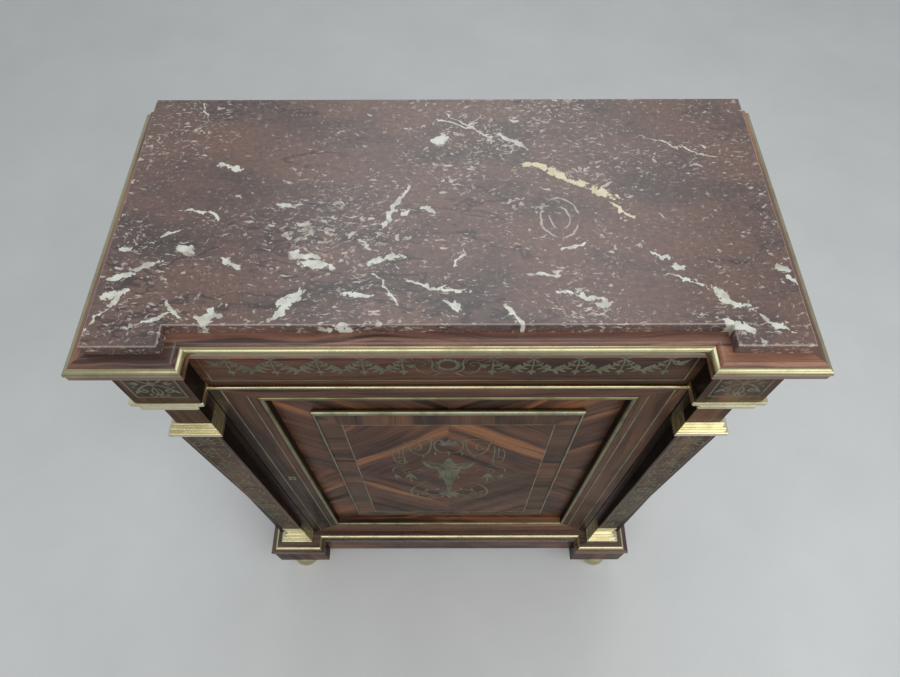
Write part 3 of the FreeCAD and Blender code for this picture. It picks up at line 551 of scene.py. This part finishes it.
class Inlay:
    """Thin sheet let into a flat face, drawn in millimetres.

    Points are complex numbers, across the face and then up it. A side of -1 draws them mirrored.
    """

    BOTH = (-1, 1)
    LAYERS = 61
    # Outline of half a leaf: shares of the length, and of half the width
    BELLY = ((0.12, 0.45), (0.35, 1.0), (0.6, 0.85), (0.85, 0.35))
    DISC_SIDES = 14

    def __init__(self, origin, up=UP, across=RIGHT, sink=0.3, proud=0.15, stack=0.0025):
        self.origin, self.up, self.across = Vector(origin), up, across
        self.normal = across.cross(up)
        self.sink, self.proud, self.stack = sink, proud, stack
        self.mesh = bmesh.new()
        self.side = 1
        self.count = 0

    def heights(self):
        """The underside and the top of the next shape. Shapes that cross differ a little in height."""
        self.count += 1
        return -self.sink, self.proud + self.count % self.LAYERS * self.stack

    def corner(self, point, height):
        offset = self.across * (point.real * self.side) + self.up * point.imag + self.normal * height
        return self.mesh.verts.new(self.origin + offset * MM)

    def patch(self, outline):
        """A flat shape with a closed outline."""
        low, high = self.heights()
        under = [self.corner(point, low) for point in outline]
        over = [self.corner(point, high) for point in outline]
        caps = [self.mesh.faces.new(over), self.mesh.faces.new(under[::-1])]
        skin(self.mesh, [under, over])
        bmesh.ops.triangulate(self.mesh, faces=caps)

    def ribbon(self, line, widths):
        """A strip along a line, whose width passes evenly through the widths given."""
        low, high = self.heights()
        rings = []
        last = len(line) - 1
        for index, point in enumerate(line):
            ahead = line[min(index + 1, last)] - line[max(index - 1, 0)]
            share = index / last * (len(widths) - 1)
            step = min(int(share), len(widths) - 2)
            width = widths[step] + (widths[step + 1] - widths[step]) * (share - step)
            edge = ahead / abs(ahead) * 1j * width / 2
            corners = ((edge, low), (-edge, low), (-edge, high), (edge, high))
            rings.append([self.corner(point + offset, height) for offset, height in corners])
        skin(self.mesh, rings)
        self.mesh.faces.new(rings[0][::-1])
        self.mesh.faces.new(rings[-1])

    def frame(self, half, low, high, width):
        """A mitred string round a rectangle."""
        outer = rectangle(-half, half, low, high)
        inner = rectangle(width - half, half - width, low + width, high - width)
        for strip in border(outer, inner):
            self.patch(strip)

    def leaf(self, base, tip, width):
        axis = tip - base
        edge = axis * 1j / abs(axis) * width / 2
        near = [base + axis * share + edge * swell for share, swell in self.BELLY]
        far = [base + axis * share - edge * swell for share, swell in self.BELLY[::-1]]
        self.patch([base] + near + [tip] + far)

    def spray(self, base, heading, size, count, spread):
        """Leaves fanned about a heading, the middle one the longest. Angles are in degrees."""
        for index in range(count):
            off = 2 * index / (count - 1) - 1
            tip = base + cmath.rect(size * (1 - 0.35 * off * off), math.radians(heading + spread * off))
            self.leaf(base, tip, size * 0.32)

    def disc(self, centre, radius):
        turns = (index / self.DISC_SIDES for index in range(self.DISC_SIDES))
        self.patch([centre + cmath.rect(radius, math.tau * turn) for turn in turns])

    def scroll(self, points, centre, turns, width):
        """A stem through the points that then winds in about a centre, with a round eye."""
        line = smooth(points) + spiral(centre, points[-1], turns)[1:]
        self.ribbon(line, (width * 0.5, width, width * 0.8, width * 0.6))
        self.disc(line[-1], width * 0.75)

    def finish(self, name, finish, body, slot="brass"):
        piece(name, self.mesh, finish, body)


# Frieze: a wreath in the middle, then scrolls and a row of leafy swags with tassels between them
FRIEZE_LEVEL = 1.002
FRIEZE_SIDE_MARGIN, FRIEZE_LOW_MARGIN, FRIEZE_TOP_MARGIN = 15, 15.5, 7
TASSELS = (54, 102, 156, 210, 264)
WREATH_RADIUS, WREATH_MIDDLE, WREATH_LEAVES, WREATH_STEPS = 11.5, 4j, 8, 32
STRING = 1.6
frieze_low, frieze_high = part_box("frieze_board")


def wreath_side(sheet):
    """Leaves round half of the wreath, with the ribbon and the scrolls beside it."""
    for index in range(WREATH_LEAVES):
        turn = math.radians(-82 + 164 * index / (WREATH_LEAVES - 1))
        base = cmath.rect(WREATH_RADIUS, turn) + WREATH_MIDDLE
        sheet.leaf(base, base + cmath.rect(8, turn + 1.1), 3.2)
    sheet.ribbon(smooth(path((23, 25), (18, 10), (19, -6), (9, -17), (0, -18))), (1.2, 2.6, 2.2, 1.5))
    sheet.leaf(complex(8, -17), complex(20, -25), 3.6)
    sheet.scroll(path((18, -14), (26, -18), (36, -12), (40, 2)), complex(31, 5), 0.8, 2.2)
    sheet.scroll(path((20, 8), (26, 20), (36, 24)), complex(38, 17), -0.7, 2.0)
    sheet.spray(complex(40, 0), 20, 13, 3, 45)


def tassel(sheet, x):
    """A ribbon bow with a hanging spray."""
    sheet.ribbon(path((x, 20), (x + 0.5, 4), (x, -12)), (1.6, 2.4, 1.6))
    sheet.spray(complex(x, -10), -90, 14, 3, 38)
    for lean in Inlay.BOTH:
        sheet.leaf(complex(x, 18), complex(x + lean * 13, 27), 3.4)
        sheet.leaf(complex(x, 16), complex(x + lean * 11, 10), 3.2)
    sheet.disc(complex(x, 18), 2.4)


def swag(sheet, start, end):
    """A hanging garland, fullest in its middle."""
    top, sag, count = 13, 23, 8
    hang = []
    for index in range(count + 1):
        share = index / count
        hang.append(complex(start + (end - start) * share, top - sag * 4 * share * (1 - share)))
    sheet.ribbon(hang, (1.5, 5.5, 1.5))
    for index in range(1, count):
        along = hang[index + 1] - hang[index - 1]
        along /= abs(along)
        fullness = math.sin(math.pi * index / count)
        outward = 1 if index >= count / 2 else -1
        for lean in (-62, 58):
            turn = outward * cmath.exp(1j * outward * math.radians(lean))
            tip = hang[index] + along * turn * (6 + 7 * fullness)
            sheet.leaf(hang[index], tip, 3.2 + 2.2 * fullness)
        sheet.disc(hang[index], 1.1 + 0.8 * fullness)


frieze = Inlay((0, frieze_low.y, FRIEZE_LEVEL))
for frieze.side in Inlay.BOTH:
    wreath_side(frieze)
    for x in TASSELS:
        tassel(frieze, x)
    for start, end in zip(TASSELS, TASSELS[1:]):
        swag(frieze, start + 3, end - 3)
    frieze.ribbon(smooth(path((267, 12), (274, 4), (283, 8), (288, 18))), (1.5, 2.6, 1.4))
    frieze.spray(complex(275, 6), 40, 15, 3, 60)
angles = (math.tau * step / WREATH_STEPS for step in range(WREATH_STEPS + 1))
frieze.ribbon([cmath.rect(WREATH_RADIUS, angle) + WREATH_MIDDLE for angle in angles], (3, 3))
frieze.finish("frieze_marquetry", worn_inlay, "cabinet")

frieze_string = Inlay((0, frieze_low.y, 0))
frieze_string.frame(
    frieze_high.x / MM - FRIEZE_SIDE_MARGIN,
    frieze_low.z / MM + FRIEZE_LOW_MARGIN,
    frieze_high.z / MM - FRIEZE_TOP_MARGIN,
    STRING,
)
frieze_string.finish("frieze_string", inlay_brass, "cabinet")


# Blocks over the pilasters: a dark panel with a string and an arabesque
BLOCK_MARGIN, BLOCK_STRING = 9.5, 2.2


def block_arabesque(sheet):
    for sheet.side in Inlay.BOTH:
        sheet.scroll(path((1, -2), (9, 2), (18, 12)), complex(13, 17), 0.9, 3.4)
        sheet.scroll(path((1, -4), (10, -8), (19, -16)), complex(14, -21), -0.9, 3.4)
        sheet.scroll(path((2, 8), (6, 18), (4, 27)), complex(10, 29), -0.7, 2.8)
        sheet.scroll(path((2, -14), (6, -24), (3, -31)), complex(9, -33), 0.7, 2.8)
        sheet.spray(complex(15, -2), 0, 13, 3, 38)
        sheet.leaf(complex(19, 14), complex(28, 25), 5)
        sheet.leaf(complex(19, -18), complex(28, -30), 5)
        sheet.disc(complex(24, 8), 1.8)
        sheet.disc(complex(24, -11), 1.8)
    sheet.ribbon(path((0, -34), (0, 32)), (2.0, 3.6, 2.0))
    sheet.spray(24j, 90, 13, 3, 34)
    sheet.spray(-28j, -90, 13, 3, 34)
    sheet.disc(-3j, 5)


for side_name in SIDES:
    low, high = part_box(f"frieze_block_{side_name}")
    middle = (low + high) / 2
    half_width = (high.x - low.x) / 2 / MM - BLOCK_MARGIN
    half_height = (high.z - low.z) / 2 / MM - BLOCK_MARGIN
    panel = Inlay((middle.x, low.y, middle.z), proud=0.08)
    panel.patch(rectangle(-half_width, half_width, -half_height, half_height))
    panel.finish(f"block_panel_{side_name}", block_veneer, "cabinet", "rosewood")
    block = Inlay((middle.x, low.y, middle.z))
    block.frame(half_width, -half_height, half_height, BLOCK_STRING)
    block_arabesque(block)
    block.finish(f"block_marquetry_{side_name}", worn_inlay, "cabinet")


# Pilaster shafts: border strings and a climbing arabesque, with a brass collar at the foot
SHAFT_FOOT_HALF, SHAFT_FOOT_OUT = 0.019, 0.009
SHAFT_LOW_GAP, SHAFT_TOP_GAP, SHAFT_UNITS = 8, 6, 11
BORDER, BORDER_STRING, BORDER_ROOM = 5.0, 1.4, 2.5
COLLAR_HEIGHT, COLLAR_BEAD, BEAD_ROUND = 0.041, 0.004, 0.001
COLLAR_SKIN, COLLAR_PROUD, COLLAR_SINK = 0.6 * MM, 1.6 * MM, 0.4 * MM
# Corners of a collar from left to right: the side, and whether it is at the front
COLLAR_CORNERS = ((-1, False), (-1, True), (1, True), (1, False))
post_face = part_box("corner_post_left")[0].y
base_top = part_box("base_moulding_left")[1].z
shaft_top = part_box("capital_left")[0].z


def shaft_unit(shaft, base, room, rise, scrolled):
    """One unit of the arabesque: scrolls or leaves on both sides, then a spray and a disc on the stem."""

    def at(across, up):
        return base + complex(across * room, up * rise)

    for shaft.side in Inlay.BOTH:
        if scrolled:
            shaft.scroll([at(0.05, 0.08), at(0.55, 0.16), at(0.9, 0.34)], at(0.55, 0.44), 0.9, 2.4)
            shaft.scroll([at(0.05, 0.5), at(0.4, 0.56), at(0.75, 0.7)], at(0.45, 0.78), 0.85, 2.3)
            shaft.leaf(at(0.45, 0.2), at(0.95, 0.08), 2.8)
        else:
            shaft.scroll([at(0.05, 0.3), at(0.5, 0.2), at(0.85, 0.1)], at(0.6, 0.28), 0.8, 2.4)
            shaft.leaf(at(0.05, 0.42), at(0.85, 0.62), 3.6)
            shaft.leaf(at(0.05, 0.5), at(0.6, 0.8), 3.6)
            shaft.leaf(at(0.05, 0.3), at(0.8, 0.42), 3)
    shaft.spray(at(0, 0.78), 90, rise * 0.2, 3, 36)
    shaft.disc(at(0, 0.46), 2.6)


def shaft_marquetry(side_name, foot, head, head_half):
    """Strings along the edges and an arabesque that widens with the taper."""
    tall = (head - foot).length / MM
    start, end = COLLAR_HEIGHT / MM + SHAFT_LOW_GAP, tall - SHAFT_TOP_GAP
    foot_half, head_half = SHAFT_FOOT_HALF / MM, head_half / MM

    def half_at(height):
        return foot_half + (head_half - foot_half) * height / tall

    shaft = Inlay(foot, up=(head - foot).normalized())
    corners = [complex(half_at(height) - BORDER, height) for height in (start, end)]
    for shaft.side in Inlay.BOTH:
        shaft.ribbon(corners, (BORDER_STRING, BORDER_STRING))
    for corner in corners:
        shaft.ribbon([-corner.conjugate(), corner], (BORDER_STRING, BORDER_STRING))
    shaft.ribbon(path((0, start + 6), (0, end - 8)), (0.8, 1.0))
    rise = (end - start) / SHAFT_UNITS
    for unit in range(SHAFT_UNITS):
        base = complex(0, start + rise * unit)
        room = half_at(base.imag + rise / 2) - BORDER - BORDER_ROOM
        shaft_unit(shaft, base, room, rise, scrolled=unit % 2 == 1)
    shaft.finish(f"shaft_marquetry_{side_name}", worn_inlay, "cabinet")


def shaft_collar(side_name, foot, head, head_half):
    """A thin brass sheath round the front and sides of a shaft's foot, with a bead along its top."""
    bead_low = COLLAR_HEIGHT - COLLAR_BEAD
    profile = (
        (0, COLLAR_SKIN),
        (bead_low, COLLAR_SKIN),
        (bead_low + BEAD_ROUND, COLLAR_PROUD),
        (COLLAR_HEIGHT - BEAD_ROUND, COLLAR_PROUD),
        (COLLAR_HEIGHT, COLLAR_SKIN),
    )
    collar = bmesh.new()
    rings = []
    for height, out in profile:
        share = height / (shaft_top - base_top)
        half = SHAFT_FOOT_HALF + (head_half - SHAFT_FOOT_HALF) * share
        face = foot.y + (head.y - foot.y) * share
        ring = []
        for grow, corners in ((out, COLLAR_CORNERS), (-COLLAR_SINK, COLLAR_CORNERS[::-1])):
            for across, at_front in corners:
                y = face - grow if at_front else post_face
                ring.append(collar.verts.new((foot.x + across * (half + grow), y, base_top + height)))
        rings.append(ring)
    skin(collar, rings)
    for ring in (rings[0], rings[-1]):
        for index in range(3):
            collar.faces.new((ring[index], ring[index + 1], ring[6 - index], ring[7 - index]))
    piece(f"shaft_collar_{side_name}", collar, cast_brass, "cabinet")


for side_name in SIDES:
    low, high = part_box(f"pilaster_shaft_{side_name}")
    axis_x = (low.x + high.x) / 2
    foot = Vector((axis_x, post_face - SHAFT_FOOT_OUT, base_top))
    head = Vector((axis_x, low.y, shaft_top))
    shaft_marquetry(side_name, foot, head, (high.x - low.x) / 2)
    shaft_collar(side_name, foot, head, (high.x - low.x) / 2)


# Door frame: two strings on each stile, cut off at the mitres
STILE_STRINGS = (16, 45)
door_low, door_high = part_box("door_stile_left")[0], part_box("door_stile_right")[1]
door_half, door_base, door_top = door_high.x / MM, door_low.z / MM, door_high.z / MM
opening_half = door_half - (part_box("door_stile_left")[1].x - door_low.x) / MM
opening_base, opening_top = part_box("door_rail_bottom")[1].z / MM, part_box("door_rail_top")[0].z / MM
strings = Inlay((0, door_low.y, 0))
for strings.side in Inlay.BOTH:
    for margin in STILE_STRINGS:
        x = door_half - margin
        inward = margin / (door_half - opening_half)
        string_base = door_base + inward * (opening_base - door_base)
        string_top = door_top - inward * (door_top - opening_top)
        strings.ribbon(path((x, string_base), (x, string_top)), (STRING, STRING))
strings.finish("door_strings", inlay_brass, "door")


# Field of the door: quartered veneers, crossbanding round them and a string between
BAND_SIDE, BAND_FOOT, BAND_HEAD = 33.5, 15.5, 39.5
SEAM, VENEER = 0.12, 0.25
INLAY_PROUD, ENGRAVING_PROUD = VENEER + 0.12, VENEER + 0.2
field_low, field_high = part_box("door_field")
field_half, field_base, field_top = field_high.x / MM, field_low.z / MM, field_high.z / MM
band_half, band_base, band_top = field_half - BAND_SIDE, field_base + BAND_FOOT, field_top - BAND_HEAD


def veneer(name, finish, outlines):
    sheet = Inlay((0, field_low.y, 0), sink=0.2, proud=VENEER, stack=0)
    for outline in outlines:
        sheet.patch(outline)
    sheet.finish(name, finish, "door", "rosewood")


middle = DOOR_MIDDLE / MM
veneer("field_quarters", quarter_veneer, [
    rectangle(left + SEAM, right - SEAM, low + SEAM, high - SEAM)
    for left, right in ((-band_half, 0), (0, band_half))
    for low, high in ((band_base, middle), (middle, band_top))
])
foot_band, right_band, head_band, left_band = border(
    rectangle(-field_half, field_half, field_base, field_top),
    rectangle(-band_half, band_half, band_base, band_top),
)
veneer("field_crossband_ends", cross_upright, [foot_band, head_band])
veneer("field_crossband_sides", cross_level, [right_band, left_band])
field_string = Inlay((0, field_low.y, 0), proud=INLAY_PROUD)
field_string.frame(band_half + STRING / 2, band_base - STRING / 2, band_top + STRING / 2, STRING)
field_string.finish("field_string", inlay_brass, "door")


# Medallion in the middle of the door: an ox skull among strapwork, scrolls and leaves
MEDALLION_LEVEL = 0.579


def skull_side(sheet):
    """Horn, ear and cheek."""
    sheet.ribbon(smooth(path((9, 46), (20, 50), (33, 58), (46, 67))), (6, 4.5, 3, 1))
    sheet.leaf(complex(15, 20), complex(45, 60), 21)
    sheet.leaf(complex(15, -4), complex(17, -34), 5)


def upper_straps(sheet):
    """Rings and hooked straps above the skull."""
    ring = path((0, 112), (8, 105), (18, 113), (23, 132), (22, 150), (15, 162), (8, 157), (6, 146))
    sheet.ribbon(smooth(ring), (2.4, 3.2, 3, 2))
    hook = path((27, 168), (28, 140), (32, 112), (41, 94), (53, 99), (62, 118), (65, 142), (71, 154))
    sheet.ribbon(smooth(hook), (2.4, 3.2, 3.2, 2.2))
    curl = path((63, 148), (53, 151), (45, 142), (45, 124), (52, 119), (56, 127))
    sheet.ribbon(smooth(curl), (3, 2.8, 2.4))
    sheet.ribbon(smooth(path((22, 160), (36, 165), (50, 163), (64, 156))), (3.6, 3.2, 2))
    sheet.leaf(complex(42, 94), complex(42, 78), 4)
    sheet.leaf(complex(22, 110), complex(22, 92), 4)


def side_bracket(sheet):
    """Upright straps at the side, joined by two bars."""
    sheet.ribbon(smooth(path((73, 134), (75, 104), (74, 74), (76, 46))), (2, 2.6, 2))
    sheet.ribbon(path((81, 126), (82, 84)), (2.2, 1.6))
    sheet.scroll(path((88, 122), (92, 96), (90, 66), (81, 48)), complex(80, 62), -0.75, 2.3)
    for level in (118, 84):
        sheet.ribbon(path((74, level), (89, level - 2)), (2.4, 2))
    sheet.ribbon(smooth(path((68, 41), (84, 37), (96, 26), (99, 4))), (1.8, 2.6, 1.4))


def leafy_drop(sheet):
    """Leaves that hang between the bracket and the lower scrolls."""
    sheet.scroll(path((56, 22), (70, 25), (80, 12)), complex(72, 8), -0.7, 2)
    sheet.leaf(complex(56, 22), complex(42, 10), 4)
    for tip in path((58, -38), (69, -56), (79, -34)):
        sheet.leaf(complex(69, 0), tip, 6)
    sheet.leaf(complex(95, -4), complex(94, -36), 5)
    sheet.leaf(complex(94, -8), complex(86, -28), 4)


def lower_scrolls(sheet):
    """A broad sweep below the skull with scrolls and leaves inside it."""
    sweep = path(
        (42, -46), (54, -64), (66, -84), (73, -110), (69, -136), (54, -153), (36, -158), (20, -150),
    )
    sheet.ribbon(smooth(sweep), (2, 3.4, 3.8, 4.6, 3))
    stem = path((4, -118), (14, -104), (28, -100), (42, -106), (51, -118))
    sheet.scroll(stem, complex(45, -126), -0.8, 3.8)
    sheet.scroll(path((6, -126), (20, -133), (34, -136)), complex(33, -145), -0.7, 3.6)
    bases = path((56, -118), (60, -126), (46, -106), (24, -101))
    tips = path((68, -104), (64, -142), (40, -90), (20, -86))
    for base, tip in zip(bases, tips):
        sheet.leaf(base, tip, 5.5)


medallion = Inlay((0, field_low.y, MEDALLION_LEVEL), proud=INLAY_PROUD)
skull = path(
    (0, 78), (4, 73), (6.5, 63), (10, 52), (14, 42), (17, 30), (20, 18), (19, 4), (14.5, -8),
    (13, -24), (9, -40), (7, -60), (5, -84), (5.5, -98), (3, -110),
)
medallion.patch(skull + [-point.conjugate() for point in skull[:0:-1]])
for medallion.side in Inlay.BOTH:
    skull_side(medallion)
    upper_straps(medallion)
    side_bracket(medallion)
    leafy_drop(medallion)
    lower_scrolls(medallion)
medallion.spray(136j, 90, 30, 5, 60)
medallion.leaf(112j, 92j, 4)
medallion.spray(-112j, -90, 46, 5, 44)
medallion.disc(-114j, 4)
medallion.finish("field_medallion", worn_inlay, "door")


# Engraved lines that model the skull
engraving = Inlay((0, field_low.y, MEDALLION_LEVEL), proud=ENGRAVING_PROUD)
for engraving.side in Inlay.BOTH:
    engraving.leaf(complex(6.5, 20), complex(16, 30), 6)
    engraving.ribbon(smooth(path((10, 38), (20, 40), (32, 50), (40, 60))), (1.2, 2.2, 0.8))
    engraving.leaf(complex(2.4, -92), complex(4.4, -103), 2.4)
    engraving.ribbon(smooth(path((4, 12), (6, -20), (3, -60))), (0.4, 0.9, 0.3))
    for lean in (3, 7):
        engraving.ribbon(path((lean * 0.4, 50), (lean, 68)), (0.4, 1.0, 0.3))
    engraving.leaf(complex(22, 32), complex(40, 56), 3)
engraving.finish("medallion_engraving", cross_upright, "door", "rosewood")


# Inside of the door: a plain upright veneer over the panel
lining = Inlay((0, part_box("door_panel")[1].y, 0), across=-RIGHT)
lining.patch(rectangle(-opening_half, opening_half, opening_base, opening_top))
lining.finish("door_lining", lining_veneer, "door", "rosewood")


# Sides: one plain string on each
SIDE_MARGIN = 22
for side_name, side in SIDES.items():
    low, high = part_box(f"side_panel_{side_name}")
    face_x = high.x if side > 0 else low.x
    sheet = Inlay((face_x, (low.y + high.y) / 2, 0), across=BACK * side)
    half = (high.y - low.y) / 2 / MM - SIDE_MARGIN
    sheet.frame(half, low.z / MM + SIDE_MARGIN, high.z / MM - SIDE_MARGIN, STRING)
    sheet.finish(f"side_string_{side_name}", inlay_brass, "cabinet")


# Camera, fitted to the corners of the marble, cornice, pilasters and plinth in the photograph
PHOTO_WIDTH, FOCAL_PIXELS = 900, 649.3
CAMERA_PLACE = (0.0036, -0.5105, 1.6971)
PITCH, ROLL, YAW = (math.radians(angle) for angle in (60.23, -0.235, 0.139))
camera = bpy.data.objects.new("camera", bpy.data.cameras.new("camera"))
scene.collection.objects.link(camera)
camera.data.sensor_width = 36
camera.data.lens = camera.data.sensor_width * FOCAL_PIXELS / PHOTO_WIDTH
camera.data.clip_start = 0.01
tilted = Matrix.Rotation(math.pi / 2 - PITCH, 4, "X")
turn = Matrix.Rotation(YAW, 4, "Z") @ tilted @ Matrix.Rotation(ROLL, 4, "Z")
camera.matrix_world = Matrix.Translation(CAMERA_PLACE) @ turn
scene.camera = camera


# Floor, in plain pale grey
FLOOR_HALF = 7.0
floor_mesh = bmesh.new()
bmesh.ops.create_grid(floor_mesh, x_segments=8, y_segments=8, size=FLOOR_HALF)
floor_data = bpy.data.meshes.new("floor")
floor_mesh.to_mesh(floor_data)
floor_mesh.free()
floor = bpy.data.objects.new("floor", floor_data)
scene.collection.objects.link(floor)
floor_net = Graph("floor")
shade = floor_net.noise(floor_net.place, 3.0, detail=6.0, roughness=0.6)
floor_data.materials.append(floor_net.finish({
    "Base Color": floor_net.ramp(shade, [(0.3, srgb(218, 220, 220)), (0.7, srgb(226, 228, 228))]),
    "Roughness": 0.6,
    "Specular IOR Level": 0.3,
}))


# Sky: a bright one where it is seen or mirrored, and a dimmer one that lights the room
world = bpy.data.worlds.new("studio")
scene.world = world
world.use_nodes = True
sky_nodes, sky_links = world.node_tree.nodes, world.node_tree.links
light_sky = sky_nodes["Background"]
light_sky.inputs["Color"].default_value = (0.93, 0.97, 1.0, 1.0)
light_sky.inputs["Strength"].default_value = 0.36
seen_sky = sky_nodes.new("ShaderNodeBackground")
seen_sky.inputs["Color"].default_value = srgb(208, 211, 213)
chosen_sky = sky_nodes.new("ShaderNodeMixShader")
rays = sky_nodes.new("ShaderNodeLightPath").outputs
seen = rays["Is Camera Ray"]
for mirrored in ("Is Glossy Ray", "Is Transmission Ray"):
    either = sky_nodes.new("ShaderNodeMath")
    either.operation = "MAXIMUM"
    sky_links.new(seen, either.inputs[0])
    sky_links.new(rays[mirrored], either.inputs[1])
    seen = either.outputs[0]
sky_links.new(seen, chosen_sky.inputs[0])
sky_links.new(light_sky.outputs[0], chosen_sky.inputs[1])
sky_links.new(seen_sky.outputs[0], chosen_sky.inputs[2])
sky_links.new(chosen_sky.outputs[0], sky_nodes["World Output"].inputs["Surface"])


# Lamps, with places and sizes in metres and power in watts
WARM_WHITE, PANEL_WHITE, WINDOW_WHITE = (1.0, 0.98, 0.95), (0.95, 0.98, 1.0), (0.97, 0.99, 1.0)


def lamp(name, place, target, size, power, colour, shape="RECTANGLE"):
    """A flat lamp at a place, turned to a target."""
    light = bpy.data.lights.new(name, "AREA")
    light.shape = shape
    light.size, light.size_y = size
    light.energy = power
    light.color = colour
    made = bpy.data.objects.new(name, light)
    scene.collection.objects.link(made)
    heading = Vector(target) - Vector(place)
    turn = heading.to_track_quat("-Z", "Y").to_matrix().to_4x4()
    made.matrix_world = Matrix.Translation(place) @ turn


lamp("ceiling_panel", (0.35, -1.35, 2.9), (0, -0.1, 0.8), (3.6, 1.2), 28, WARM_WHITE)
lamp("ceiling_strip", (0.4, -1.75, 2.5), (0, -0.2, 1.0), (3.2, 0.16), 3.5, WARM_WHITE)
lamp("front_strip", (1.2, -2.8, 1.5), (0, -0.2, 0.8), (2.8, 0.5), 4, WARM_WHITE)
lamp("rear_panel", (0.15, 1.5, 3.25), (0, 0, 1.1), (2.1, 2.1), 20, PANEL_WHITE, "ELLIPSE")
lamp("right_window", (2.2, -2.2, 1.6), (0, -0.1, 0.6), (1.6, 1.8), 16, WINDOW_WHITE)

scene.view_settings.view_transform = "Standard"
